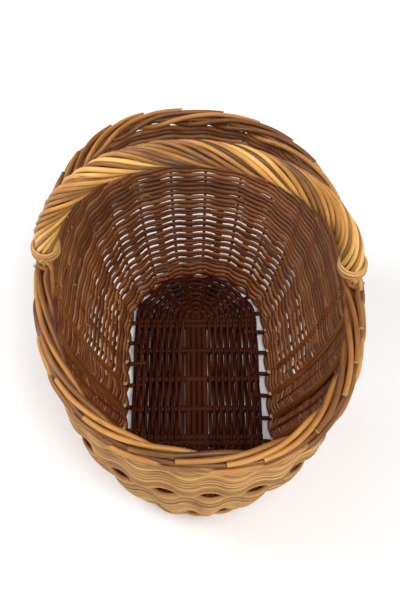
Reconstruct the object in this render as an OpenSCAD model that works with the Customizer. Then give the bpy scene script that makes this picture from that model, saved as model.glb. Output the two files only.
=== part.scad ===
/* [Rim] */
// outside width of the rim, left to right
rim_w = 322; // [305:1:340]
// outside length of the rim, front to back
rim_l = 453; // [435:1:470]
// height of the wall's top under the rolled border
wall_top = 207; // [196:1:218]
// how far the rim's right side sits forward of its left side, halved
rim_skew = 12; // [0:1:16]
// thickness of one border rod
border_rod_d = 5.5; // [4.5:0.1:5.5]

/* [Base] */
// half width of the base at the line of the uprights
base_half_w = 83; // [81:1:85]
// straight half length of the base
base_straight = 78; // [74:1:82]
// thickness of one cross stick
cross_stick_d = 8; // [7.6:0.1:8.4]
// thickness of one long stick
long_stick_d = 4.8; // [4.4:0.1:4.8]
// thickness of the woven base
base_weave_t = 12; // [11.4:0.2:12.6]
// height of the ring the basket stands on
foot_h = 8; // [7:0.5:8]

/* [Wall] */
// number of stakes round the wall
stake_count = 28; // [28]
// thickness of a stake
stake_d = 5.5; // [5:0.1:5.5]
// thickness of a by-stake
bye_stake_d = 4.5; // [4:0.1:4.5]
// how far the wall swells outward at half height
wall_belly = 14; // [11:1:17]
// thickness of the woven rows
sheet_t = 2.8; // [2.6:0.1:3]
// distance the rows swing to each side of an upright
sheet_swing = 1.5; // [1.2:0.1:2]
// height of the top of the thick rows at the foot
upset_top = 23.5; // [22:0.5:25]
// height at which the rows become finer
fine_z = 150; // [144:1:156]
// height of the slot between two rows in the lower wall
low_slot = 4.2; // [3.6:0.1:4.8]
// height of the slot between two rows in the upper wall
high_slot = 2.4; // [2:0.1:2.8]

/* [Handle] */
// height of the handle's centre line over the border's centre
handle_rise = 151; // [143:1:160]
// distance of the handle's feet inside the border's middle
handle_inset = 0.5; // [0:0.1:2]
// thickness of the bow inside the rope
bow_d = 12; // [11:0.5:13]
// thickness of one rope rod
rope_rod_d = 3.6; // [3.2:0.1:3.7]
// turns of the rope over the whole handle
rope_turns = 3.6; // [3.3:0.1:3.7]

/* [Hidden] */
fit_gap = 0.3;
border_z = wall_top + 11.75;
border_half = 10.5;
rim_a = rim_w / 2 - border_half;
rim_b = rim_l / 2 - border_half;
handle_half_w = rim_a - handle_inset;
rim_power = 2.36;
table_steps = 360;
base_z = foot_h + fit_gap + stake_d / 2;
weave_half_w = base_half_w - 10;
cross_pitch = 40;
end_pitch = 7;
long_pitch = 6.2;
long_count = 4;
strip_half = 15;
strip_end = 96;
fan_count = 7;
fan_start = 32;
fan_d = 4.5;
root_start = weave_half_w + fit_gap;
bow_skin = 1.35;
stake_foot_z = foot_h + fit_gap;
rope_radius = bow_d / 2 + fit_gap + rope_rod_d / 2 + bow_skin;
core_d = 2 * (rope_radius - rope_rod_d / 2 - fit_gap);
willow = [0.78, 0.58, 0.34];
willow_dark = [0.42, 0.24, 0.12];
willow_gold = [0.83, 0.62, 0.33];
straw = [0.88, 0.74, 0.48];
$fn = 24;

// superellipse point at parameter t in degrees
function rim_at(t) = [
  rim_a * sign(cos(t)) * pow(abs(cos(t)), 2 / rim_power),
  rim_b * sign(sin(t)) * pow(abs(sin(t)), 2 / rim_power)];
rim_steps = [for (i = [0:table_steps]) rim_at(i * 360 / table_steps)];
function run_sums(i, total, list) =
  i > table_steps ? list :
  run_sums(i + 1, total + norm(rim_steps[i] - rim_steps[i - 1]),
    concat(list, [total + norm(rim_steps[i] - rim_steps[i - 1])]));
rim_sums = run_sums(1, 0, [0]);
rim_table = [for (i = [0:table_steps])
  [rim_sums[i] / rim_sums[table_steps], i * 360 / table_steps]];
function whole(u) = u - floor(u);
function rim_point(u) =
  let (p = rim_at(lookup(whole(u), rim_table)))
  [p[0], p[1] - rim_skew * p[0] / rim_a];

// stadium point at fraction u of the way round, starting on the right
quarter_arc = base_half_w * PI / 2;
base_round = 4 * (base_straight + quarter_arc);
function base_quarter(w) =
  w < base_straight ? [base_half_w, w] :
  [base_half_w * cos((w - base_straight) / base_half_w * 180 / PI),
    base_straight + base_half_w * sin((w - base_straight) / base_half_w * 180 / PI)];
function base_half(w) =
  w <= base_round / 4 ? base_quarter(w) :
  [-base_quarter(base_round / 2 - w)[0], base_quarter(base_round / 2 - w)[1]];
function base_point(u) =
  whole(u) <= 0.5 ? base_half(whole(u) * base_round) :
  -base_half((whole(u) - 0.5) * base_round);

function base_out(u) =
  let (d = base_point(u + 0.002) - base_point(u - 0.002))
  [d[1], -d[0]] / norm(d);

// point of the wall at fraction u and height z
function wall_share(z) = (z - stake_foot_z) / (border_z - stake_foot_z);
function wall_point(u, z) =
  base_point(u) * (1 - wall_share(z)) + rim_point(u) * wall_share(z);
function wall_out(u, z) =
  let (d = wall_point(u + 0.002, z) - wall_point(u - 0.002, z))
  [d[1], -d[0]] / norm(d);
belly_steps = 5;
belly_table = [for (i = [0:belly_steps])
  [i / belly_steps, wall_belly * sin(180 * i / belly_steps)]];
function belly(z) = lookup(wall_share(z), belly_table);
function wall_shifted(u, z, s) =
  let (p = wall_point(u, z) + (s + belly(z)) * wall_out(u, z))
  [p[0], p[1], z];

// the uprights stand on the hollow side of each wave
main_s = sheet_swing - sheet_t / 2 - fit_gap - stake_d / 2;
bye_s = -(sheet_swing - sheet_t / 2 - fit_gap - bye_stake_d / 2);
function main_u(k) = (k + 0.25) / stake_count;
function bye_u(k) = (k + 0.75) / stake_count;

// closed band of woven sheet between two heights
wave_points = 2;
module weave_band(z_low, z_high) {
  n = stake_count * wave_points;
  rows = [
    for (i = [0:n - 1])
      let (u = (i + 0.5) / n, s = sheet_swing * sin(360 * u * stake_count))
      [wall_shifted(u, z_low, s - sheet_t / 2), wall_shifted(u, z_low, s + sheet_t / 2),
        wall_shifted(u, z_high, s + sheet_t / 2), wall_shifted(u, z_high, s - sheet_t / 2)]];
  points = [for (row = rows) for (p = row) p];
  faces = [
    for (i = [0:n - 1])
      for (j = [0:3])
        let (m = (i + 1) % n, h = (j + 1) % 4)
        each [[4 * i + j, 4 * i + h, 4 * m + h], [4 * i + j, 4 * m + h, 4 * m + j]]];
  polyhedron(points = points, faces = faces, convexity = 12);
}

// round rod from one point to another
module rod_between(p, q, d) {
  v = q - p;
  turn = atan2(v[1], v[0]);
  lean = atan2(norm([v[0], v[1]]), v[2]);
  translate(p)
  rotate([0, lean, turn])
  cylinder(d = d, h = norm(v));
}

// swept rod along a list of points, with a thickness for each point
function unit(v) = v / norm(v);
function path_dir(path, i) =
  unit(path[min(i + 1, len(path) - 1)] - path[max(i - 1, 0)]);
module swept_rod(path, sizes, sides, up) {
  n = len(path);
  points = [
    for (i = [0:n - 1])
      let (d = path_dir(path, i), a = unit(cross(up[i], d)), b = cross(d, a))
      for (j = [0:sides - 1])
        path[i] + sizes[i] / 2 * (a * cos(360 * j / sides) + b * sin(360 * j / sides))];
  skin = [
    for (i = [0:n - 2])
      for (j = [0:sides - 1])
        let (h = (j + 1) % sides)
        each [[i * sides + j, (i + 1) * sides + h, i * sides + h],
          [i * sides + j, (i + 1) * sides + j, (i + 1) * sides + h]]];
  first_cap = [[for (j = [0:sides - 1]) j]];
  last_cap = [[for (j = [sides - 1:-1:0]) (n - 1) * sides + j]];
  polyhedron(points = points, faces = concat(skin, first_cap, last_cap), convexity = 10);
}

module base_long_sticks() {
  color(willow_dark)
  for (i = [0:long_count - 1])
    translate([(i - (long_count - 1) / 2) * long_pitch, strip_end - fit_gap, base_z])
    rotate([90, 0, 0])
    cylinder(d = long_stick_d, h = 2 * (strip_end - fit_gap));
}

cross_rows = [-2 * cross_pitch - end_pitch / 2, -2 * cross_pitch + end_pitch - 1.5,
  -cross_pitch, 0, cross_pitch, 2 * cross_pitch - end_pitch + 1.5,
  2 * cross_pitch + end_pitch / 2];

module strip_space(extra) {
  translate([0, 0, base_z])
  cube([2 * strip_half, 2 * strip_end, long_stick_d + extra], center = true);
}

module base_cross_sticks() {
  color(willow_dark)
  difference() {
    for (y = cross_rows)
      translate([-weave_half_w + 2, y, base_z])
      rotate([0, 90, 0])
      cylinder(d = cross_stick_d, h = 2 * weave_half_w - 4);
    strip_space(fit_gap);
  }
}

module fan_sticks(d) {
  for (end = [-1, 1])
    for (i = [0:fan_count - 1])
      let (a = 90 * end + (i - (fan_count - 1) / 2) * 24)
      translate([0, end * base_straight, base_z])
      rotate([0, 90, a])
      translate([0, 0, fan_start])
      cylinder(d = d, h = weave_half_w - fan_start - 2);
}

module base_fan_sticks() {
  color(willow_dark)
  difference() {
    fan_sticks(fan_d);
    for (y = cross_rows)
      translate([-weave_half_w, y, base_z])
      rotate([0, 90, 0])
      cylinder(d = cross_stick_d + 4 * fit_gap, h = 2 * weave_half_w);
  }
}

module base_outline() {
  square([2 * weave_half_w, 2 * base_straight], center = true);
  for (end = [-1, 1])
    translate([0, end * base_straight])
    circle(r = weave_half_w, $fn = 96);
}

module base_weave() {
  color(willow_dark)
  difference() {
    translate([0, 0, base_z - base_weave_t / 2])
    linear_extrude(height = base_weave_t)
    base_outline();
    translate([0, 0, base_z])
    cube([2 * strip_half, 4 * cross_pitch - 20, 2 * base_weave_t], center = true);
    strip_space(2 * fit_gap);
    for (y = cross_rows)
      translate([-weave_half_w - 1, y, base_z])
      rotate([0, 90, 0])
      cylinder(d = cross_stick_d + 2 * fit_gap, h = 2 * weave_half_w + 2);
    fan_sticks(fan_d + 2 * fit_gap);
  }
}

module foot_ring() {
  color(willow)
  linear_extrude(height = foot_h)
  difference() {
    ring_outline(base_half_w + 5);
    ring_outline(base_half_w - 4);
  }
}

module ring_outline(r) {
  square([2 * r, 2 * base_straight], center = true);
  for (end = [-1, 1])
    translate([0, end * base_straight])
    circle(r = r, $fn = 120);
}

module stake_roots() {
  color(willow_dark)
  for (k = [0:stake_count - 1]) {
    root_end = stake_d / 2 + fit_gap - main_s;
    reach = base_half_w - root_start;
    inner = base_point(main_u(k)) - reach * base_out(main_u(k));
    p = [inner[0], inner[1], base_z];
    q = wall_shifted(main_u(k), base_z, -root_end);
    rod_between(p, q, stake_d - 0.5);
  }
}

// upright that follows the swell of the wall, straight from step to step
stake_sides = 6;
module upright(u, s, d) {
  steps = [for (i = [0:belly_steps])
    min(stake_foot_z + i / belly_steps * (border_z - stake_foot_z), wall_top)];
  path = [for (z = steps) wall_shifted(u, z, s)];
  along = [for (z = steps)
    let (n = wall_out(u, z))
    [-n[1], n[0], 0]];
  swept_rod(path, [for (z = steps) d], stake_sides, along);
}

module side_stakes() {
  color(willow)
  for (k = [0:stake_count - 1])
    upright(main_u(k), main_s, stake_d);
}

module bye_stakes() {
  color(willow)
  for (k = [0:stake_count - 1])
    upright(bye_u(k), bye_s, bye_stake_d);
}

rows_per_band = 2;
low_bands = 4;
high_bands = 3;
low_start = upset_top + 2.5 * fit_gap + 1.5;
low_pitch = (fine_z - low_start) / (low_bands * rows_per_band);
high_pitch = (wall_top - fine_z + high_slot) / (high_bands * rows_per_band);

module upset_band() {
  color(willow)
  weave_band(foot_h + fit_gap, upset_top);
}

module low_band(i) {
  color(willow)
  for (row = [i * rows_per_band:(i + 1) * rows_per_band - 1])
    weave_band(low_start + row * low_pitch, low_start + (row + 1) * low_pitch - low_slot);
}

module high_band(i) {
  color(willow)
  for (row = [i * rows_per_band:(i + 1) * rows_per_band - 1])
    weave_band(fine_z + row * high_pitch, fine_z + (row + 1) * high_pitch - high_slot);
}

module weave_band_01() {
  low_band(0);
}

module weave_band_02() {
  low_band(1);
}

module weave_band_03() {
  low_band(2);
}

module weave_band_04() {
  low_band(3);
}

module weave_band_05() {
  high_band(0);
}

module weave_band_06() {
  high_band(1);
}

module weave_band_07() {
  high_band(2);
}

// border rod path: stake periods travelled, distance outward, height
border_path = [[0, main_s, -11.3], [0, 1.5, -6], [0.06, 7.3, -1], [0.5, 8.3, -2.5], [1, 8.6, -6],
  [1.25, 5.6, -7.4], [1.5, 1, -8.6], [2, -7.2, -6], [2.5, -8.2, 0.5], [3, -5, 4.5],
  [3.25, -3.3, 5.3], [3.5, -1.6, 5.8], [4, 1.6, 6], [4.25, 2.9, 5.8], [4.7, 4.9, 5]];
// rods near a handle foot are pushed aside to clear it
leg_room = 5.9;
function from_foot(u) = abs(whole(2 * u + 0.5) - 0.5) / 2 * stake_count;
function pushed(u, s) =
  let (near = max(0, min(1, 1.6 - 2 * from_foot(u))), side = s < 0 ? -1 : 1)
  abs(s) > leg_room ? s : s + near * (side * leg_room - s);

module border_rods() {
  color(willow_gold)
  for (k = [0:stake_count - 1]) {
    path = [for (p = border_path)
      let (u = main_u(k) - p[0] / stake_count,
        q = wall_shifted(u, border_z, p[0] < 0.05 ? p[1] : pushed(u, p[1])))
      [q[0], q[1], border_z + p[2]]];
    turn = [for (p = border_path)
      let (o = wall_out(main_u(k) - p[0] / stake_count, border_z))
      p[0] < 0.05 ? [o[1], -o[0], 0] : [0, 0, 1]];
    swept_rod(path, [for (p = border_path) border_rod_d], 6, turn);
  }
}

// handle centre line in the plane across the basket
handle_power = 2;
handle_side = unit([rim_skew, rim_a, 0]);
handle_foot_z = border_z;
function handle_at(t) = [
  -handle_half_w * sign(cos(t)) * pow(abs(cos(t)), 2 / handle_power),
  rim_skew * sign(cos(t)) * pow(abs(cos(t)), 2 / handle_power),
  handle_foot_z + handle_rise * pow(sin(t), 2 / handle_power)];
arch_steps = 180;
arch_points = [for (i = [0:arch_steps]) handle_at(i * 180 / arch_steps)];
function arch_sums(i, total, list) =
  i > arch_steps ? list :
  arch_sums(i + 1, total + norm(arch_points[i] - arch_points[i - 1]),
    concat(list, [total + norm(arch_points[i] - arch_points[i - 1])]));
arch_run = arch_sums(1, 0, [0]);
arch_table = [for (i = [0:arch_steps]) [arch_run[i] / arch_run[arch_steps], i * 180 / arch_steps]];
function arch_at(w) = handle_at(lookup(w, arch_table));
function arch_dir(w) = unit(arch_at(min(w + 0.004, 1)) - arch_at(max(w - 0.004, 0)));

bow_steps = 30;
rope_low = 0.02;
leg_d = 5;
module handle_legs() {
  color(willow_dark)
  for (side = [0, 1])
    rod_between(wall_shifted(side / 2, wall_top + fit_gap, 0),
      arch_at(side == 0 ? 1 - rope_low : rope_low) - [0, 0, fit_gap], leg_d);
}

module handle_bow() {
  path = [for (i = [0:bow_steps]) arch_at(rope_low + (1 - 2 * rope_low) * i / bow_steps)];
  color(willow_dark)
  swept_rod(path, [for (i = [0:bow_steps]) core_d], 12, [for (p = path) handle_side]);
}

rope_steps = 32;
rope_rods = 14;
bundles = 4;
function bundle_start(bundle) = floor(rope_rods * bundle / bundles);
module handle_rope(bundle) {
  color(willow_gold)
  for (i = [0:bundle_start(bundle + 1) - bundle_start(bundle) - 1]) {
    start = 360 * (bundle_start(bundle) + i) / rope_rods;
    path = [for (j = [0:rope_steps])
      let (w = rope_low + (1 - 2 * rope_low) * j / rope_steps,
        a = start + 360 * rope_turns * j / rope_steps,
        d = arch_dir(w), side = handle_side, up = cross(d, side))
      arch_at(w) + rope_radius * (side * cos(a) + up * sin(a))];
    ups = [for (j = [0:rope_steps])
      let (w = rope_low + (1 - 2 * rope_low) * j / rope_steps,
        a = start + 360 * rope_turns * j / rope_steps,
        d = arch_dir(w), side = handle_side, up = cross(d, side))
      side * cos(a) + up * sin(a)];
    swept_rod(path, [for (p = path) rope_rod_d], 6, ups);
  }
}

module handle_rope_1() {
  handle_rope(0);
}

module handle_rope_2() {
  handle_rope(1);
}

module handle_rope_3() {
  handle_rope(2);
}

module handle_rope_4() {
  handle_rope(3);
}

// bound band round a handle foot, a stack of rings
tie_rod_d = 3;
tie_inner = rope_radius + rope_rod_d / 2 + fit_gap;
tie_height = 18;
function arch_x(h) = handle_half_w * pow(1 - pow(h / handle_rise, handle_power), 1 / handle_power);
module foot_tie(side, rings) {
  lean = atan(arch_x(tie_height - 2) - arch_x(tie_height + 2)) / 4;
  translate([side * arch_x(tie_height), -side * rim_skew, border_z + tie_height])
  rotate([0, -side * lean, 0])
  for (i = [0:rings - 1])
    translate([0, 0, (i - (rings - 1) / 2) * (tie_rod_d + 0.1)])
    rotate_extrude($fn = 40)
    translate([tie_inner + tie_rod_d / 2, 0])
    circle(d = tie_rod_d, $fn = 8);
}

module handle_tie_left() {
  color(straw)
  foot_tie(-1, 3);
}

module handle_tie_right() {
  color(straw)
  foot_tie(1, 3);
}

base_long_sticks();
base_cross_sticks();
base_fan_sticks();
base_weave();
foot_ring();
stake_roots();
side_stakes();
bye_stakes();
upset_band();
weave_band_01();
weave_band_02();
weave_band_03();
weave_band_04();
weave_band_05();
weave_band_06();
weave_band_07();
border_rods();
handle_legs();
handle_bow();
handle_rope_1();
handle_rope_2();
handle_rope_3();
handle_rope_4();
handle_tie_left();
handle_tie_right();
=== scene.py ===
import math
import random

import bpy
import numpy as np
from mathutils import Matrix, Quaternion, Vector


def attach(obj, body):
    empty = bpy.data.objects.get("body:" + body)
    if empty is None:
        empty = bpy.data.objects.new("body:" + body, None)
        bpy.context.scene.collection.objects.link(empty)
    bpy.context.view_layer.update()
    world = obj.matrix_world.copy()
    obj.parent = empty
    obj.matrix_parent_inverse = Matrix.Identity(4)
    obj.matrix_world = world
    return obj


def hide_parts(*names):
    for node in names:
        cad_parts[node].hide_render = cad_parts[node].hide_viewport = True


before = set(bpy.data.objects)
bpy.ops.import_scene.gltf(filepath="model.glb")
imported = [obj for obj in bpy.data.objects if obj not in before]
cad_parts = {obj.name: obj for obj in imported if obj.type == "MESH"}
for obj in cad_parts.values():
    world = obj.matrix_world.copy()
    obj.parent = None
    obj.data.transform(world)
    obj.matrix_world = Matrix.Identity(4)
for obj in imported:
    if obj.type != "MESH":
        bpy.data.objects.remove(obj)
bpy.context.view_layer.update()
print("stage: frame loaded")
dice = random.Random(11)
upward = (0, 0, 1)

# sizes that the pieces share, in millimetres
# u is the share of the way round the wall, from its right side over the back
# s is how far a point lies outside the wall's middle
basket = {
    "rimHalfWidth": 150.5, "rimHalfLength": 216.0, "rimPower": 2.36, "rimSkew": 12.0,
    "baseHalfWidth": 83.0, "baseStraight": 78.0, "belly": 14.0,
    "footTop": 8.3, "borderZ": 218.75, "stakes": 28, "stakeAt": 0.25, "thinAt": 0.75,
}
tableSteps = {"rim": 2881, "baseEnd": 1001, "arch": 1441}


# each point's share of the whole length
def fractionTable(points):
    steps = np.linalg.norm(np.diff(points, axis=0), axis=1)
    run = np.concatenate([[0], np.cumsum(steps)])
    return run / run[-1]


# an oval with fuller corners as power grows past 2
def oval(t, halfWidth, halfHeight, power):
    p = 2 / power
    return (halfWidth * np.sign(np.cos(t)) * np.abs(np.cos(t)) ** p,
            halfHeight * np.sign(np.sin(t)) * np.abs(np.sin(t)) ** p)


def makeRim():
    t = np.linspace(0, 2 * np.pi, tableSteps["rim"])
    x, y = oval(t, basket["rimHalfWidth"], basket["rimHalfLength"], basket["rimPower"])
    slanted = y - basket["rimSkew"] * x / basket["rimHalfWidth"]
    return fractionTable(np.stack([x, y], 1)), np.stack([x, slanted], 1)


def makeBase():
    r, straight = basket["baseHalfWidth"], basket["baseStraight"]
    arc = np.linspace(0, np.pi, tableSteps["baseEnd"])
    end = np.stack([r * np.cos(arc), straight + r * np.sin(arc)], 1)
    points = np.concatenate([[[r, 0]], end, -end, [[r, 0]]])
    return fractionTable(points), points


rimRing, baseRing = makeRim(), makeBase()


def onRing(ring, u):
    w = np.mod(u, 1.0)
    return np.stack([np.interp(w, ring[0], ring[1][:, i]) for i in (0, 1)], -1)


def wallPoint(u, z):
    u, z = np.broadcast_arrays(np.asarray(u, float), np.asarray(z, float))
    share = ((z - basket["footTop"]) / (basket["borderZ"] - basket["footTop"]))[..., None]
    return onRing(baseRing, u) * (1 - share) + onRing(rimRing, u) * share


# the level direction out of the wall
def wallOut(u, z):
    step = 0.003
    d = wallPoint(np.asarray(u) + step, z) - wallPoint(np.asarray(u) - step, z)
    n = np.stack([d[..., 1], -d[..., 0]], -1)
    return n / np.linalg.norm(n, axis=-1, keepdims=True)


def wallAt(u, z, s):
    u, z, s = np.broadcast_arrays(*[np.asarray(v, float) for v in (u, z, s)])
    share = np.clip((z - basket["footTop"]) / (basket["borderZ"] - basket["footTop"]), 0, 1)
    swell = basket["belly"] * np.sin(np.pi * share)
    flat = wallPoint(u, z) + wallOut(u, z) * (s + swell)[..., None]
    return np.concatenate([flat, z[..., None]], -1)


# a smooth curve through all the points
def smoothPath(points, perSpan):
    p = np.asarray(points, float)
    p = np.concatenate([[2 * p[0] - p[1]], p, [2 * p[-1] - p[-2]]])
    out = []
    for i in range(1, len(p) - 2):
        a, b, c, d = p[i - 1:i + 3]
        for t in np.arange(perSpan) / perSpan:
            out.append(0.5 * (2 * b + (c - a) * t + (2 * a - 5 * b + 4 * c - d) * t ** 2
                              + (3 * b - a - 3 * c + d) * t ** 3))
    out.append(p[-2])
    return np.array(out)


# willow rods, swept along their paths and gathered in one mesh
rodPattern = {"along": 9, "capSize": 0.3}


class RodSet:
    def __init__(self, name, sides=8):
        self.name, self.sides = name, sides
        self.points, self.faces, self.loopUv = [], [], []
        self.tone, self.depth, self.cut = [], [], []
        self.count = 0

    # radius and tone may be given for each point; up turns the section, and the shade function gives painted
    # shade for each point, darkening what faces inwards
    def add(self, path, radius, up, tone, paintedShadeOf=None, caps=True):
        path = np.asarray(path, float)
        n, m = len(path), self.sides
        radius = np.broadcast_to(np.asarray(radius, float), (n,))
        up = np.broadcast_to(np.asarray(up, float), (n, 3))
        tones = np.broadcast_to(np.asarray(tone, float), (n,))
        d = np.gradient(path, axis=0)
        d /= np.linalg.norm(d, axis=1, keepdims=True) + 1e-9
        a = np.cross(up, d)
        a /= np.linalg.norm(a, axis=1, keepdims=True) + 1e-9
        b = np.cross(d, a)
        angle = np.arange(m) * 2 * np.pi / m
        normal = (a[:, None] * np.cos(angle)[None, :, None]
                  + b[:, None] * np.sin(angle)[None, :, None])
        verts = path[:, None] + normal * radius[:, None, None]
        # painted shade for each point, from 0 for none to 1 for the full shade colour
        depth = np.zeros((n, m)) if paintedShadeOf is None else paintedShadeOf(verts, normal)

        # the pattern runs along the rod in metres and starts at a place of its own
        run = np.concatenate([[0], np.cumsum(np.linalg.norm(np.diff(path, axis=0), axis=1))]) / 1000
        run = run + dice.random() * rodPattern["along"]
        i, j = np.meshgrid(np.arange(n - 1), np.arange(m), indexing="ij")
        h = (j + 1) % m
        quads = np.stack([i * m + j, i * m + h, (i + 1) * m + h, (i + 1) * m + j], -1).reshape(-1, 4)
        uvU = np.stack([j, j + 1, j + 1, j], -1).reshape(-1, 4) / m
        uvV = run[np.stack([i, i, i + 1, i + 1], -1).reshape(-1, 4)]
        self.faces.append((quads + self.count, 4))
        self.loopUv.append(np.stack([uvU, uvV], -1).reshape(-1, 2))
        self.keep(verts.reshape(-1, 3), np.repeat(tones, m), depth.reshape(-1), 0.0)

        for end in (0, n - 1) if caps else ():
            order = np.arange(m) if end else np.arange(m)[::-1]
            self.faces.append(((order + self.count)[None], m))
            circle = np.stack([np.cos(angle), np.sin(angle)], -1)[order]
            self.loopUv.append(circle * rodPattern["capSize"])
            self.keep(verts[end], np.full(m, tones[end]), np.full(m, np.mean(depth[end])), 1.0)

    def keep(self, points, tone, depth, cut):
        self.points.append(points)
        self.tone.append(tone)
        self.depth.append(depth)
        self.cut.append(np.full(len(points), cut))
        self.count += len(points)

    def build(self, material):
        mesh = bpy.data.meshes.new(self.name)
        verts = np.concatenate(self.points) / 1000
        sizes = np.concatenate([np.full(len(f), k) for f, k in self.faces])
        loops = np.concatenate([f.reshape(-1) for f, k in self.faces])
        mesh.vertices.add(len(verts))
        mesh.vertices.foreach_set("co", verts.astype(np.float32).ravel())
        mesh.loops.add(len(loops))
        mesh.loops.foreach_set("vertex_index", loops.astype(np.int32))
        mesh.polygons.add(len(sizes))
        starts = np.concatenate([[0], np.cumsum(sizes)[:-1]])
        mesh.polygons.foreach_set("loop_start", starts.astype(np.int32))
        mesh.polygons.foreach_set("use_smooth", (sizes == 4))
        uv = mesh.uv_layers.new(name="rodUv")
        uv.data.foreach_set("uv", np.concatenate(self.loopUv).astype(np.float32).ravel())
        for key in ("tone", "depth", "cut"):
            layer = mesh.attributes.new(key, "FLOAT", "POINT")
            layer.data.foreach_set("value", np.concatenate(getattr(self, key)).astype(np.float32))
        mesh.update()
        mesh.validate()
        mesh.materials.append(material)
        obj = bpy.data.objects.new(self.name, mesh)
        bpy.context.scene.collection.objects.link(obj)
        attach(obj, "root")
        print("stage:", self.name, len(mesh.polygons), "faces")
        return obj


# an output socket that takes part in sums
class Wire:
    def __init__(self, tree, socket):
        self.tree, self.socket = tree, socket

    def combine(self, kind, other):
        node = self.tree.nodes.new("ShaderNodeMath")
        node.operation = kind
        self.tree.links.new(self.socket, node.inputs[0])
        if isinstance(other, Wire):
            self.tree.links.new(other.socket, node.inputs[1])
        else:
            node.inputs[1].default_value = other
        return Wire(self.tree, node.outputs[0])

    def __add__(self, other):
        return self.combine("ADD", other)

    def __sub__(self, other):
        return self.combine("SUBTRACT", other)

    def __rsub__(self, other):
        return self.combine("MULTIPLY", -1) + other

    def __mul__(self, other):
        return self.combine("MULTIPLY", other)

    __radd__, __rmul__ = __add__, __mul__

    def limited(self, low, high, newLow=0.0, newHigh=1.0):
        node = self.tree.nodes.new("ShaderNodeMapRange")
        self.tree.links.new(self.socket, node.inputs["Value"])
        limits = {"From Min": low, "From Max": high, "To Min": newLow, "To Max": newHigh}
        for key, value in limits.items():
            node.inputs[key].default_value = value
        return Wire(self.tree, node.outputs[0])


class Shader:
    def __init__(self, name):
        self.material = bpy.data.materials.new(name)
        self.material.use_nodes = True
        self.tree = self.material.node_tree
        self.surface = self.tree.nodes["Principled BSDF"]

    def node(self, kind, out=0, settings=None, **inputs):
        made = self.tree.nodes.new("ShaderNode" + kind)
        for key, value in (settings or {}).items():
            setattr(made, key, value)
        for key, value in inputs.items():
            self.put(made.inputs[key], value)
        return Wire(self.tree, made.outputs[out])

    def put(self, slot, value):
        if isinstance(value, Wire):
            self.tree.links.new(value.socket, slot)
        else:
            slot.default_value = value

    def finish(self, key, value):
        self.put(self.surface.inputs[key], value)

    def mix(self, share, first, second, kind="MIX"):
        made = self.tree.nodes.new("ShaderNodeMix")
        made.data_type, made.blend_type = "RGBA", kind
        for slot, value in ((0, share), (6, first), (7, second)):
            self.put(made.inputs[slot], value)
        return Wire(self.tree, made.outputs[2])

    def ramp(self, value, stops):
        made = self.tree.nodes.new("ShaderNodeValToRGB")
        self.put(made.inputs[0], value)
        while len(made.color_ramp.elements) < len(stops):
            made.color_ramp.elements.new(0.5)
        for element, (at, colour) in zip(made.color_ramp.elements, stops):
            element.position, element.color = at, colour
        return Wire(self.tree, made.outputs[0])


def tint(r, g, b):
    parts = [c / 255 for c in (r, g, b)]
    return tuple(c / 12.92 if c < 0.04045 else ((c + 0.055) / 1.055) ** 2.4 for c in parts) + (1,)


# willow finishes: each pattern's repeats round a rod and per metre along it, and how much it counts; the shade
# colour that multiplies in is painted shade
bark = {
    "streak": (5, 45, 1), "streakShare": 0.5, "blotch": (1.2, 14, 1), "blotchShare": 0.8,
    "knot": (2, 22, 1), "knotSize": (0.05, 0.16), "knotShare": 0.55, "knotColour": tint(86, 52, 26),
    "paintedShadeColour": tint(134, 72, 36), "cutShare": 0.75, "cutColour": tint(226, 190, 140),
    "smoother": 0.06, "rougher": 0.1, "bump": 0.25, "bumpHeight": 0.0006,
}


def willow(name, stops, paintedShadeShare, rough, shine=0.4):
    s = Shader(name)
    tone, depth, cut = [s.node("Attribute", 2, {"attribute_name": key}) for key in ("tone", "depth", "cut")]
    place = s.node("UVMap", 0, {"uv_map": "rodUv"})
    streakAt, blotchAt, knotAt = [s.node("Mapping", Vector=place, Scale=bark[key])
                                  for key in ("streak", "blotch", "knot")]
    streak = s.node("TexNoise", Vector=streakAt, Scale=1.0, Detail=4.0, Roughness=0.6)
    blotch = s.node("TexNoise", Vector=blotchAt, Scale=1.0, Detail=2.0)
    shade = tone + (blotch - 0.5) * bark["blotchShare"] + (streak - 0.5) * bark["streakShare"]
    colour = s.ramp(shade, stops)
    knot = s.node("TexVoronoi", Vector=knotAt, Scale=1.0).limited(*bark["knotSize"], bark["knotShare"], 0.0)
    colour = s.mix(knot, colour, bark["knotColour"])
    # painted shade: the colour is multiplied by the shade colour as far as the point's painted shade goes
    shadedColour = s.mix(1.0, colour, bark["paintedShadeColour"], "MULTIPLY")
    colour = s.mix(depth * paintedShadeShare, colour, shadedColour)
    colour = s.mix(cut * bark["cutShare"], colour, bark["cutColour"])
    s.finish("Base Color", colour)
    s.finish("Specular IOR Level", shine)
    s.finish("Roughness", streak.limited(0.3, 0.7, rough - bark["smoother"], rough + bark["rougher"]))
    s.finish("Normal", s.node("Bump", Height=streak, Strength=bark["bump"], Distance=bark["bumpHeight"]))
    return s.material


wallStops = [
    (0.0, tint(132, 90, 46)), (0.4, tint(180, 130, 70)), (0.7, tint(202, 150, 82)), (1.0, tint(224, 178, 108))]
borderStops = [
    (0.0, tint(96, 58, 28)), (0.3, tint(146, 96, 46)), (0.6, tint(194, 136, 66)), (1.0, tint(240, 186, 104))]
# the handle's stops are brighter than the border's, as painted light on the handle
handleLitStops = [
    (0.0, tint(88, 56, 30)), (0.3, tint(152, 102, 50)), (0.6, tint(206, 146, 72)), (1.0, tint(244, 196, 112))]
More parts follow.
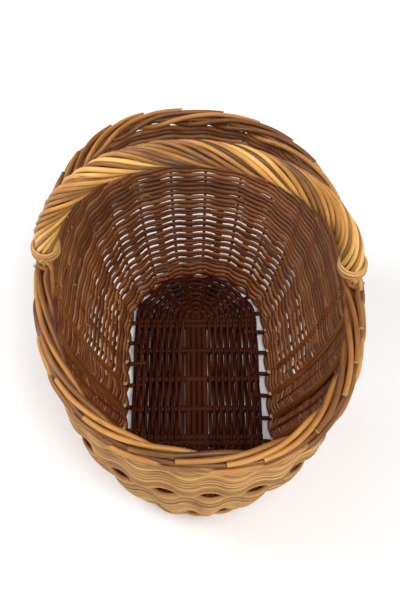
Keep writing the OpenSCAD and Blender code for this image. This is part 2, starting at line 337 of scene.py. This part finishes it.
# the base's stops are darker than the wall's, as painted shade on the floor of the basket
baseShadedStops = [(0.0, tint(70, 36, 16)), (0.5, tint(104, 56, 24)), (1.0, tint(140, 80, 36))]
tieStops = [(0.0, tint(158, 112, 60)), (1.0, tint(222, 176, 108))]
wallWillow = willow("wallWillow", wallStops, 1.0, 0.5)
borderWillow = willow("borderWillow", borderStops, 0.9, 0.42)
handleLitWillow = willow("handleLitWillow", handleLitStops, 0.8, 0.4)
baseShadedWillow = willow("baseShadedWillow", baseShadedStops, 0.9, 0.6, 0.15)
tieWillow = willow("tieWillow", tieStops, 0.5, 0.42)
print("stage: materials")

# painted shade: a rod is darker where it faces into the basket, and more so further down, where the inside of
# the basket lies in shade
paintedShadeSizes = {"darkTop": 190, "darkShare": 1.1, "steep": 1.5, "outerCut": 0.1}


def paintedInwardShade(out, strength):
    def shadeOf(verts, normal):
        facing = 0.5 - 0.5 * np.sum(normal[..., :2] * out[:, None], axis=-1)
        lowness = np.clip(paintedShadeSizes["darkShare"] - verts[..., 2] / paintedShadeSizes["darkTop"], 0, 1)
        turned = np.clip(facing * paintedShadeSizes["steep"] - paintedShadeSizes["outerCut"], 0, 1)
        return turned * (strength + (1 - strength) * lowness)
    return shadeOf


# painted shade of one amount all over a rod, for the base, the stakes' roots and the handle's core and legs
def evenPaintedShade(amount):
    return lambda verts, normal: np.full(verts.shape[:2], amount)


# wall: thick rows at the foot, rows of paired rods, then finer rows
# thin rods fill the spaces between the rows at the front
wall = {
    "upset": [(11.2, 2.7), (16.4, 2.7), (21.6, 2.6)], "upsetSwing": 0.6,
    "lowFrom": 27.6, "lowTo": 89.0, "lowRows": 9, "lowRadius": 1.98,
    "pairStep": 2.9, "pairSwing": 0.2, "pairShift": 0.35,
    "fineFrom": 95.6, "fineTo": 205.2, "fineRows": 19, "fineRadius": (2.6, 3.15), "fineJitter": 0.3,
    "fillRadius": 1.5, "fillStep": 1.35, "frontSpan": (0.53, 0.97), "spanJitter": 0.01,
    "backSwing": -1.35, "backShift": -1.2, "frontSwing": 2.5, "frontShift": 2.6, "uprightFront": -2.4,
    "flipZ": 150.0, "flipSpan": (0.55, 0.95), "flipGap": 3.2,
    "pointsPerWave": 12, "bluntness": 0.75, "sink": 1.2, "squeeze": 0.1, "frontThin": 0.36,
    "endLength": 0.8, "endTuck": 1.6, "endJitter": 0.6, "overlap": 0.5, "wobble": 0.28, "taper": 0.14,
    "piecesPerRow": [2, 3, 3, 4], "pieceJitter": 0.15, "thickness": (0.92, 1.08), "tones": (0.1, 0.95),
    "frontBlend": 0.75, "darkness": 0.8,
}


# 1 at the front of the basket, 0 at its back
def frontShare(u):
    return np.clip(0.5 - wall["frontBlend"] * np.sin(2 * np.pi * np.asarray(u, float)), 0, 1)


# at the front the upper rows pass the stakes on the other side, which leaves the lens-shaped gaps
def sideOf(u, z):
    turn = np.mod(u, 1.0)
    flipFrom, flipTo = wall["flipSpan"]
    flipped = (z > wall["flipZ"]) & (turn > flipFrom) & (turn < flipTo)
    return np.where(flipped, -1.0, 1.0)


# the uprights stand outside the rows at the back and inside them at the front
def uprightShift(u, atBack):
    share = float(np.clip(2 * frontShare(u) - 1, 0, 1))
    return atBack + (wall["uprightFront"] - atBack) * share


# where the rods of a row begin and end
def rowMarks(span):
    if span:
        jitter = wall["spanJitter"]
        return np.array([mark + dice.uniform(-jitter, jitter) for mark in span])
    jitter = wall["pieceJitter"]
    pieces = dice.choice(wall["piecesPerRow"])
    start = dice.random()
    marks = np.sort([start + (i + dice.uniform(-jitter, jitter)) / pieces for i in range(pieces)])
    return np.concatenate([marks, [marks[0] + 1]])


def weaveRow(rods, z, radius, extra=0.0, shift=0.0, span=None):
    n = basket["stakes"]
    marks = rowMarks(span)
    wobble = [dice.uniform(-1, 1) for _ in range(6)]
    for first, last in zip(marks[:-1], marks[1:]):
        first = first - wall["overlap"] / n
        last = last + wall["overlap"] / n
        steps = int((last - first) * n * wall["pointsPerWave"]) + 2
        u = np.linspace(first, last, steps)
        wave = np.sin(2 * np.pi * n * u)
        bent = np.sign(wave) * np.abs(wave) ** wall["bluntness"]
        front = frontShare(u)
        back = 1 - front
        swing = (wall["backSwing"] - extra) * back + (wall["frontSwing"] + extra) * front
        centre = wall["backShift"] * back + wall["frontShift"] * front
        ends = np.minimum(np.clip((u - first) * n / wall["endLength"], 0, 1),
                          np.clip((last - u) * n / wall["endLength"], 0, 1))
        s = sideOf(u, z) * swing * bent + shift + centre
        s = s - (1 - ends) * wall["endTuck"]
        lift = sum(w * np.sin(2 * np.pi * (k + 2) * u + 5 * w) for k, w in enumerate(wobble)) * wall["wobble"]
        lift = lift - wall["sink"] * back * (1 - wave) / 2
        thick = radius * dice.uniform(*wall["thickness"]) * (1 - wall["taper"] * np.linspace(-1, 1, steps) ** 2)
        thick = thick * (1 + wall["squeeze"] * back * wave)
        if span is None and z > wall["lowFrom"]:
            thick = thick * (1 - wall["frontThin"] * front)
        drop = dice.uniform(-wall["endJitter"], wall["endJitter"])
        path = wallAt(u, z + lift + (1 - ends) * drop, s)
        tone = dice.uniform(*wall["tones"])
        rods.add(path, thick, upward, tone, paintedInwardShade(wallOut(u, z), wall["darkness"]))


def fillRow(rods, z):
    weaveRow(rods, z, wall["fillRadius"], span=wall["frontSpan"])


def fineWall(z):
    return midWall if z < wall["flipZ"] else highWall


lowWall, midWall, highWall = RodSet("wallLow"), RodSet("wallMid"), RodSet("wallHigh")
for z, radius in wall["upset"]:
    weaveRow(lowWall, z, radius, wall["upsetSwing"])
lowHeights = np.linspace(wall["lowFrom"], wall["lowTo"], wall["lowRows"])
for z in lowHeights:
    for side in (-1, 1):
        weaveRow(lowWall, z + side * wall["pairStep"] / 2, wall["lowRadius"], wall["pairSwing"],
                 shift=-side * wall["pairShift"])
for z in (lowHeights[:-1] + lowHeights[1:]) / 2:
    for side in (-1, 1):
        fillRow(lowWall, z + side * wall["fillStep"])
fillRow(lowWall, (wall["lowTo"] + wall["fineFrom"]) / 2)
fineHeights = np.linspace(wall["fineFrom"], wall["fineTo"], wall["fineRows"])
for z, radius in zip(fineHeights, np.linspace(*wall["fineRadius"], wall["fineRows"])):
    weaveRow(fineWall(z), z + dice.uniform(-wall["fineJitter"], wall["fineJitter"]), radius)
for z in (fineHeights[:-1] + fineHeights[1:]) / 2:
    if abs(z - wall["flipZ"]) > wall["flipGap"]:
        fillRow(fineWall(z), z)
lowWallObj = lowWall.build(wallWillow)
midWallObj = midWall.build(wallWillow)
highWallObj = highWall.build(wallWillow)
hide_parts("upset_band", "weave_band_01", "weave_band_02")
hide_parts("weave_band_03", "weave_band_04")
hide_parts("weave_band_05", "weave_band_06", "weave_band_07")

# foot
foot = {
    "heights": [2.9, 6.4], "radius": 2.7, "swing": 3.0, "centre": 1.2, "waves": 14, "ripple": 0.35,
    "points": 337, "tone": 0.5, "facingZ": 8, "darkness": 0.6,
}
footRods = RodSet("footRods")
for turn, z in enumerate(foot["heights"]):
    u = np.linspace(0, 1, foot["points"])
    s = foot["centre"] + foot["swing"] * np.cos(2 * np.pi * foot["waves"] * u + turn * np.pi)
    path = wallAt(u, basket["footTop"], s)
    path[:, 2] = z + foot["ripple"] * np.sin(2 * np.pi * 2 * foot["waves"] * u)
    footRods.add(path, foot["radius"], upward, foot["tone"],
                 paintedInwardShade(wallOut(u, foot["facingZ"]), foot["darkness"]), caps=False)
footObj = footRods.build(wallWillow)
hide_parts("foot_ring")

# border and stakes
# a border rod's path is given as stake spacings along the rim, s, and height over the border's middle
border = {
    "path": [(0, 1, -13), (0, 3.2, -7), (0.08, 6.4, -2.2), (0.5, 7.6, -1.2), (1, 7.9, -4), (1.5, 2.5, -7.5),
             (2, -5.5, -6), (2.4, -7.9, -1.5), (2.8, -6.9, 2.8), (3.25, -3.6, 5.0), (3.6, -1.0, 5.7),
             (4, 1.6, 5.8), (4.35, 3.6, 5.4), (4.8, 5.4, 4.6)],
    "radius": 3.0, "tipShare": 0.84, "ripple": 0.3, "footRoom": 6.0, "footReach": 1.6,
    "pointsPerSpan": 6, "stretch": (-0.15, 0.2), "laidFrom": 0.04, "bendFrom": 0.05, "bendPace": 4,
    "tones": [0.2, 0.35, 0.55, 0.7, 0.8], "toneJitter": 0.08, "darkness": 0.7,
    "core": [(-4.2, 0.4), (0.2, 0.0), (4.2, 0.6)], "coreRadius": 2.7, "coreTone": 0.15, "corePoints": 225,
    "coreSway": 0.5, "coreWaves": 14, "coreFacingZ": 210,
}
stakes = {
    "radius": 2.3, "points": 14, "topGap": 17, "atBack": 0.95, "ribStep": 2.1, "ribFacingZ": 100.0,
    "tones": (0.55, 0.85), "straightPoints": 12,
    "besideFrom": 14, "besideTo": 209, "besideRadii": (2.2, 1.9), "besideTones": (0.45, 0.85),
    "thinTo": 208, "thinRadii": (2.0, 1.8), "thinTones": (0.3, 0.6), "thinAtBack": 2.3, "thinDarkness": 0.8,
}


# border rods near a foot of the handle are pushed aside to clear it
def pushed(u, s):
    away = np.abs(np.mod(2 * u + 0.5, 1) - 0.5) / 2 * basket["stakes"]
    near = np.clip(border["footReach"] - 2 * away, 0, 1)
    side = np.where(s < 0, -1.0, 1.0)
    room = border["footRoom"]
    return np.where(np.abs(s) > room, s, s + near * (side * room - s))


# a shift along the wall, for the two rods of one rib
def ribSide(u):
    out = wallOut(u, stakes["ribFacingZ"])
    return np.array([-out[1], out[0], 0.0]) * stakes["ribStep"]


def borderRod(rods, k):
    tone = dice.choice(border["tones"]) + dice.uniform(-border["toneJitter"], border["toneJitter"])
    u0 = (k + basket["stakeAt"]) / basket["stakes"]
    along, s, height = border["path"][-1]
    plan = border["path"][:-1] + [(along + dice.uniform(*border["stretch"]), s, height)]
    track = smoothPath(plan, border["pointsPerSpan"])
    u = u0 - track[:, 0] / basket["stakes"]
    laidDown = track[:, 0] > border["laidFrom"]
    top = wallAt(u, basket["borderZ"], np.where(laidDown, pushed(u, track[:, 1]), track[:, 1]))
    top[:, 2] = basket["borderZ"] + track[:, 2] + border["ripple"] * np.sin(track[:, 0] * 3 + k)
    n = stakes["points"]
    heights = np.linspace(basket["footTop"], basket["borderZ"] - stakes["topGap"], n)
    stake = wallAt(u0, heights, uprightShift(u0, stakes["atBack"])) + ribSide(u0)
    path = np.concatenate([stake, top])
    out = np.concatenate([wallOut(u0, heights), wallOut(u, basket["borderZ"])])
    thick = np.concatenate([np.full(n, stakes["radius"]),
                            np.linspace(border["radius"], border["radius"] * border["tipShare"], len(top))])
    bend = np.clip((track[:, 0] - border["bendFrom"]) * border["bendPace"], 0, 1)[:, None]
    up = np.c_[out, np.zeros(len(path))]
    up[n:] = up[n:] * (1 - bend) + np.array([0, 0, 1.0]) * bend
    stakeTone = dice.uniform(*stakes["tones"])
    tones = np.concatenate([np.full(n - 1, stakeTone), np.full(len(path) - n + 1, tone)])
    rods.add(path, thick, up, tones, paintedInwardShade(out, border["darkness"]))


# a straight rod up the wall
def upright(rods, u0, heights, atBack, aside, radii, tone, darkness):
    n = stakes["straightPoints"]
    heights = np.linspace(*heights, n)
    out = wallOut(u0, heights)
    path = wallAt(u0, heights, uprightShift(u0, atBack)) - aside
    rods.add(path, np.linspace(*radii, n), np.c_[out, np.zeros(n)], tone, paintedInwardShade(out, darkness))


borderRods = RodSet("borderAndStakes", 10)
for k in range(basket["stakes"]):
    borderRod(borderRods, k)
    u0 = (k + basket["stakeAt"]) / basket["stakes"]
    upright(borderRods, u0, (basket["footTop"] + stakes["besideFrom"], stakes["besideTo"]), stakes["atBack"],
            ribSide(u0), stakes["besideRadii"], dice.uniform(*stakes["besideTones"]), border["darkness"])
for s, z in border["core"]:
    u = np.linspace(0, 1, border["corePoints"])
    sway = border["coreSway"] * np.sin(2 * np.pi * border["coreWaves"] * u)
    path = wallAt(u, basket["borderZ"], s + sway) + np.array([0, 0, z])
    borderRods.add(path, border["coreRadius"], upward, border["coreTone"],
                   paintedInwardShade(wallOut(u, border["coreFacingZ"]), border["darkness"]), caps=False)
borderObj = borderRods.build(borderWillow)
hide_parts("border_rods", "side_stakes")

byeRods = RodSet("byeStakes")
for k in range(basket["stakes"]):
    u0 = (k + basket["thinAt"]) / basket["stakes"]
    upright(byeRods, u0, (basket["footTop"], stakes["thinTo"]), stakes["thinAtBack"],
            0, stakes["thinRadii"], dice.uniform(*stakes["thinTones"]), stakes["thinDarkness"])
byeObj = byeRods.build(wallWillow)
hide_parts("bye_stakes")

# base
base = {
    "z": 11.05, "straight": 78.0, "rowShift": 1.4,
    "crossHalf": 72.0, "crossRadius": 4.0, "crossPoints": 9,
    "crossY": [-83.5, -76.5, -40.0, 0.0, 40.0, 76.5, 83.5],
    "longs": 4, "longHalf": 103, "longRadius": 3.2, "longPitch": 6.4, "longLift": 0.4, "longPoints": 60,
    "spreadFrom": 88, "spreadOver": 15, "spread": 2.6,
    "fanRadius": 2.2, "fans": 7, "fanStep": 24.0, "fanReach": (20, 72), "fanPoints": 8,
    # stickDark, longDark and rowDark are amounts of painted shade
    "stickTones": (0.3, 0.6), "stickDark": 0.9, "longTones": (0.4, 0.75), "longDark": 0.85,
    "firstRow": 15.7, "rowPitch": 3.75, "rows": 16, "rowRadius": 2.05, "rowPoints": 460,
    "rowJitter": 0.3, "rowThickness": (0.94, 1.05), "rowTones": (0.15, 0.75), "rowDark": 0.95,
    "fanThicker": 0.6, "fanFrom": 84, "fanOver": 10, "rowSwing": 5.6, "fanSwing": 4.0,
    "heldAt": (-80, -40, 0, 40, 80),
}


def fanAngle(end, i):
    return math.radians(90 * end + (i - (base["fans"] - 1) / 2) * base["fanStep"])


baseSticks = RodSet("baseSticks", 12)
for y in base["crossY"]:
    x = np.linspace(-base["crossHalf"], base["crossHalf"], base["crossPoints"])
    path = np.stack([x, np.full(len(x), y), np.full(len(x), base["z"])], 1)
    tone = dice.uniform(*base["stickTones"])
    baseSticks.add(path, base["crossRadius"], upward, tone, evenPaintedShade(base["stickDark"]))
for i in range(base["longs"]):
    fromMiddle = i - (base["longs"] - 1) / 2
    y = np.linspace(-base["longHalf"], base["longHalf"], base["longPoints"])
    x = fromMiddle * base["longPitch"] - base["rowShift"] + 0 * y
    ends = np.clip((np.abs(y) - base["spreadFrom"]) / base["spreadOver"], 0, 1)
    spread = ends ** 2 * fromMiddle * base["spread"]
    path = np.stack([x + spread, y, np.full(len(y), base["z"] + base["longLift"])], 1)
    tone = dice.uniform(*base["longTones"])
    baseSticks.add(path, base["longRadius"], upward, tone, evenPaintedShade(base["longDark"]))
for end in (-1, 1):
    for i in range(base["fans"]):
        a = fanAngle(end, i)
        r = np.linspace(*base["fanReach"], base["fanPoints"])
        y = end * base["straight"] + r * math.sin(a)
        path = np.stack([r * math.cos(a), y, np.full(len(r), base["z"])], 1)
        tone = dice.uniform(*base["stickTones"])
        baseSticks.add(path, base["fanRadius"], upward, tone, evenPaintedShade(base["stickDark"]))
baseSticksObj = baseSticks.build(baseShadedWillow)
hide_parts("base_long_sticks", "base_cross_sticks", "base_fan_sticks")


# points on an oval with straight sides and round ends; each quarter of t is a quarter of the oval
def stadium(radius, t):
    straightShare = base["straight"] / (base["straight"] + radius * math.pi / 2)
    points = []
    for value in np.mod(t, 1.0) * 4:
        part = int(value)
        f = value - part
        sx, sy = [(1, 1), (-1, 1), (-1, -1), (1, -1)][part]
        g = f if part in (0, 2) else 1 - f
        if g < straightShare:
            points.append((sx * radius, sy * g / straightShare * base["straight"]))
        else:
            a = (g - straightShare) / (1 - straightShare) * math.pi / 2
            points.append((sx * radius * math.cos(a), sy * (base["straight"] + radius * math.sin(a))))
    return np.array(points)


# where a row crosses the sticks
def stickPlaces(radius):
    t = np.linspace(0, 1, 2001)[:-1]
    p = stadium(radius, t)
    places = []
    for y in base["heldAt"]:
        for side in (-1, 1):
            good = np.where(p[:, 0] * side > 0, np.abs(p[:, 1] - y), 1e9)
            places.append(t[int(np.argmin(good))])
    for end in (-1, 1):
        for i in range(base["fans"]):
            a = fanAngle(end, i)
            spot = np.array([radius * math.cos(a), end * base["straight"] + radius * math.sin(a)])
            places.append(t[int(np.argmin(np.linalg.norm(p - spot, axis=1)))])
    return np.sort(np.array(places))


baseWeave = RodSet("baseWeave", 7)
for row in range(base["rows"]):
    radius = base["firstRow"] + row * base["rowPitch"]
    places = stickPlaces(radius)
    t = np.linspace(0, 1, base["rowPoints"])
    sticks = np.interp(t, np.concatenate([[places[-1] - 1], places, [places[0] + 1]]),
                       np.arange(-1, len(places) + 1))
    p = stadium(radius + dice.uniform(-base["rowJitter"], base["rowJitter"]), t)
    fanned = np.clip((np.abs(p[:, 1]) - base["fanFrom"]) / base["fanOver"], 0, 1)
    swing = (base["rowSwing"] * (1 - fanned) + base["fanSwing"] * fanned) * np.cos(np.pi * (sticks + row))
    path = np.c_[p[:, 0] - base["rowShift"], p[:, 1], base["z"] + swing]
    thick = (base["rowRadius"] + base["fanThicker"] * fanned) * dice.uniform(*base["rowThickness"])
    baseWeave.add(path, thick, upward, dice.uniform(*base["rowTones"]), evenPaintedShade(base["rowDark"]))
baseWeaveObj = baseWeave.build(baseShadedWillow)
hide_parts("base_weave")

# the stakes' roots in the base: how far in from the wall, and how far over the base's middle
roots = {
    "plan": [(22, 1), (8, 0), (2.2, -0.5), (0.2, 4)], "pointsPerSpan": 5, "radius": 2.5,
    # dark is an amount of painted shade
    "tones": (0.3, 0.7), "dark": 0.8,
}
rootRods = RodSet("stakeRoots")
for k in range(basket["stakes"]):
    u0 = (k + basket["stakeAt"]) / basket["stakes"]
    far = onRing(baseRing, u0)
    out = wallOut(u0, basket["footTop"])
    plan = [np.append(far - out * reach, base["z"] + rise) for reach, rise in roots["plan"]]
    rootRods.add(smoothPath(plan, roots["pointsPerSpan"]), roots["radius"], (out[1], -out[0], 0),
                 dice.uniform(*roots["tones"]), evenPaintedShade(roots["dark"]))
rootObj = rootRods.build(baseShadedWillow)
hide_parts("stake_roots")

# handle: w is the share of the way along the arch, from its left foot
handle = {
    "halfWidth": 150.0, "rise": 151.0, "power": 2.0, "end": 0.004, "points": 260,
    "coreRadius": 7.6, "coreTone": 0.05, "ropeRadius": 9.4, "rodRadius": 2.35, "turns": 3.4, "rods": 13,
    "footLength": 0.055, "footSize": 0.78, "footGrowth": 0.22, "footRod": 0.72, "rodGrowth": 0.28,
    "sway": 0.1, "swayPace": 9, "swayJitter": 0.06, "bulge": 0.7, "bulgePace": 17, "bulgeStep": 2.1,
    "depthJitter": (-0.7, 0.4), "thickness": (0.93, 1.07),
    "tones": (0.3, 0.85), "darkTones": (0.05, 0.35), "paintedShoulderLight": 0.22, "paintedTopShade": 0.8,
    "legHeights": [167.0, 187.0, 207.0, 217.0, 227.0], "legShift": [-0.5, 0, 0, 0, 0],
    # legDark is an amount of painted shade
    "legRadii": [1.5, 2.2, 2.6, 4.5, 6.0], "legTone": 0.4, "legDark": 0.5,
}


def makeArch():
    t = np.linspace(0, np.pi, tableSteps["arch"])
    x, z = oval(t, -handle["halfWidth"], handle["rise"], handle["power"])
    slant = -basket["rimSkew"] * x / basket["rimHalfWidth"]
    points = np.stack([x, slant, basket["borderZ"] + z], 1)
    return fractionTable(points), points


arch = makeArch()


def archAt(w):
    return np.stack([np.interp(w, arch[0], arch[1][:, i]) for i in range(3)], -1)


w = np.linspace(handle["end"], 1 - handle["end"], handle["points"])
centre = archAt(w)
along = archAt(np.clip(w + 0.01, 0, 1)) - archAt(np.clip(w - 0.01, 0, 1))
along /= np.linalg.norm(along, axis=1, keepdims=True)
across = np.array([basket["rimSkew"], basket["rimHalfWidth"], 0.0])
across /= np.linalg.norm(across)
sideways = np.tile(across, (len(w), 1))
above = np.cross(along, sideways)
footTaper = np.clip(np.minimum(w, 1 - w) / handle["footLength"], 0, 1)
narrow = handle["footSize"] + handle["footGrowth"] * np.sin(footTaper * np.pi / 2)
ropeRods = RodSet("ropeRods")
for i in range(handle["rods"]):
    a = 2 * np.pi * (i / handle["rods"])
    a = a + 2 * np.pi * handle["turns"] * (w - handle["end"]) / (1 - 2 * handle["end"])
    a = a + handle["sway"] * np.sin(w * handle["swayPace"] + i)
    a = a + dice.uniform(-handle["swayJitter"], handle["swayJitter"])
    bulge = handle["bulge"] * np.sin(w * handle["bulgePace"] + i * handle["bulgeStep"])
    r = handle["ropeRadius"] * narrow + bulge + dice.uniform(*handle["depthJitter"])
    radial = sideways * np.cos(a)[:, None] + above * np.sin(a)[:, None]
    thick = handle["rodRadius"] * (handle["footRod"] + handle["rodGrowth"] * footTaper)
    thick = thick * dice.uniform(*handle["thickness"])
    tone = dice.uniform(*handle["tones"] if i % 3 else handle["darkTones"])  # every third rod is darker
    # painted light: the handle's rods are lighter towards its shoulders and feet and darker over the top
    tones = tone + handle["paintedShoulderLight"] * (np.abs(2 * w - 1) * 2 - handle["paintedTopShade"])
    ropeRods.add(centre + radial * r[:, None], thick, radial, tones)
ropeObj = ropeRods.build(handleLitWillow)
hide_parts("handle_rope_1", "handle_rope_2", "handle_rope_3", "handle_rope_4")

bowRods = RodSet("bow", 14)
# the core between the rope rods has full painted shade on the darkest tone, so the gaps between the rods look
# dark
bowRods.add(centre, handle["coreRadius"] * narrow, sideways, handle["coreTone"], evenPaintedShade(1.0))
for foot in (0.0, 0.5):
    path = wallAt(foot, handle["legHeights"], handle["legShift"])
    bowRods.add(path, handle["legRadii"], (0, 1, 0), handle["legTone"], evenPaintedShade(handle["legDark"]))
bowObj = bowRods.build(handleLitWillow)
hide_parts("handle_bow", "handle_legs")

# ties round the handle's feet
# a strand's points are its distance from the foot, its angle round it, and its height over the border's middle
ties = {
    "inset": 0.5, "rods": 5, "radius": 1.5, "ring": 12.4, "every2nd": 0.9, "lift": 6.0, "step": 2.5,
    "sag": 2.4, "ripple": 0.4, "halfTurn": 0.95 * np.pi, "points": 15, "ends": (0.95, 0.7, 0.45, 0.2, -0.5),
    "pointsPerSpan": 8, "tones": (0.2, 0.9),
}


def tieStrand(rods, side, points):
    ring, phi, z = (np.array(column, float) for column in zip(*points))
    footX = side * (handle["halfWidth"] - ties["inset"])
    footY = -side * basket["rimSkew"]
    x = footX + ring * np.sin(phi)
    y = footY - ring * np.cos(phi)
    path = smoothPath(np.stack([x, y, basket["borderZ"] + z], 1), ties["pointsPerSpan"])
    radial = path - np.array([footX, footY, 0])
    radial[:, 2] = 0
    rods.add(path, ties["radius"], radial, dice.uniform(*ties["tones"]))


for name, side in (("tieLeft", -1), ("tieRight", 1)):
    tieRods = RodSet(name)
    for i in range(ties["rods"]):
        turns = np.linspace(-ties["halfTurn"], ties["halfTurn"], ties["points"])
        rise = (ties["lift"] + i * ties["step"] + ties["sag"] * (1 - np.cos(turns))
                + ties["ripple"] * np.sin(3 * turns + i))
        ring = ties["ring"] + ties["every2nd"] * (i % 2)
        tieStrand(tieRods, side, [(ring, a, z) for a, z in zip(turns, rise)])
    for i, aim in enumerate(ties["ends"]):
        lean = side * aim
        tieStrand(tieRods, side, [(13.2, lean * 0.1, 12 - i), (14.6, lean * 0.35, 8 - i),
                                  (15.6, lean * 0.7, 2 - 0.5 * i), (15.4, lean, -4 + i)])
    tieObj = tieRods.build(tieWillow)
    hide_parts("handle_tie_left" if side < 0 else "handle_tie_right")

# floor, light and camera, in metres
# what the camera sees of the floor brightens with distance, up to white
studio = {
    "floorSize": 30, "floorColour": (0.9, 0.9, 0.905, 1), "glowFrom": 0.6, "glowTo": 2.6, "glow": (0.09, 0.6),
    "skyColour": (0.96, 0.98, 1.0, 1), "skyLight": 0.48, "skySeen": 0.52,
    "place": (-0.0069, -0.5993, 0.9408), "tilt": 37.59, "turn": -0.87, "roll": 0.4, "lens": 57.0, "sensor": 36,
}
bpy.ops.mesh.primitive_plane_add(size=studio["floorSize"], location=(0, 0, 0))
floor = bpy.context.object
floor.name = "floor"
floorShade = Shader("floorPale")
seen = floorShade.node("LightPath")
spot = floorShade.node("TexCoord", 3)
away = floorShade.node("VectorMath", 1, {"operation": "LENGTH"}, Vector=spot)
glow = seen * away.limited(studio["glowFrom"], studio["glowTo"], *studio["glow"])
floorShade.finish("Base Color", studio["floorColour"])
floorShade.finish("Roughness", 0.8)
floorShade.finish("Specular IOR Level", 0.1)
floorShade.finish("Emission Color", floorShade.mix(glow, (0, 0, 0, 1), (1, 1, 1, 1)))
floorShade.finish("Emission Strength", 1.0)
floor.data.materials.append(floorShade.material)

world = bpy.data.worlds.new("studio")
bpy.context.scene.world = world
world.use_nodes = True
sky = world.node_tree.nodes["Background"]
sky.inputs["Color"].default_value = studio["skyColour"]
skySeen = Wire(world.node_tree, world.node_tree.nodes.new("ShaderNodeLightPath").outputs[0])
skyStrength = skySeen * studio["skySeen"] + studio["skyLight"]
world.node_tree.links.new(skyStrength.socket, sky.inputs["Strength"])


def softLight(name, place, size, power, colour):
    bpy.ops.object.light_add(type="AREA", location=place)
    lamp = bpy.context.object
    lamp.name = name
    lamp.data.shape, lamp.data.size = "DISK", size
    lamp.data.energy, lamp.data.color = power, colour
    lamp.rotation_mode = "QUATERNION"
    lamp.rotation_quaternion = (Vector((0, 0, 0.15)) - Vector(place)).to_track_quat("-Z", "Y")


softLight("key", (0.5, -1.0, 1.9), 0.9, 30, (1.0, 0.985, 0.96))
softLight("fill", (-1.4, 0.2, 1.6), 1.2, 22, (1.0, 1.0, 1.0))

bpy.ops.object.camera_add(location=studio["place"])
camera = bpy.context.object
camera.rotation_mode = "QUATERNION"
camera.rotation_quaternion = (Quaternion((0, 0, 1), math.radians(studio["turn"]))
                              @ Quaternion((1, 0, 0), math.radians(studio["tilt"]))
                              @ Quaternion((0, 0, 1), math.radians(studio["roll"])))
camera.data.lens, camera.data.sensor_width = studio["lens"], studio["sensor"]
bpy.context.scene.camera = camera
bpy.context.scene.view_settings.view_transform = "Standard"
print("stage: floor, lights and camera")
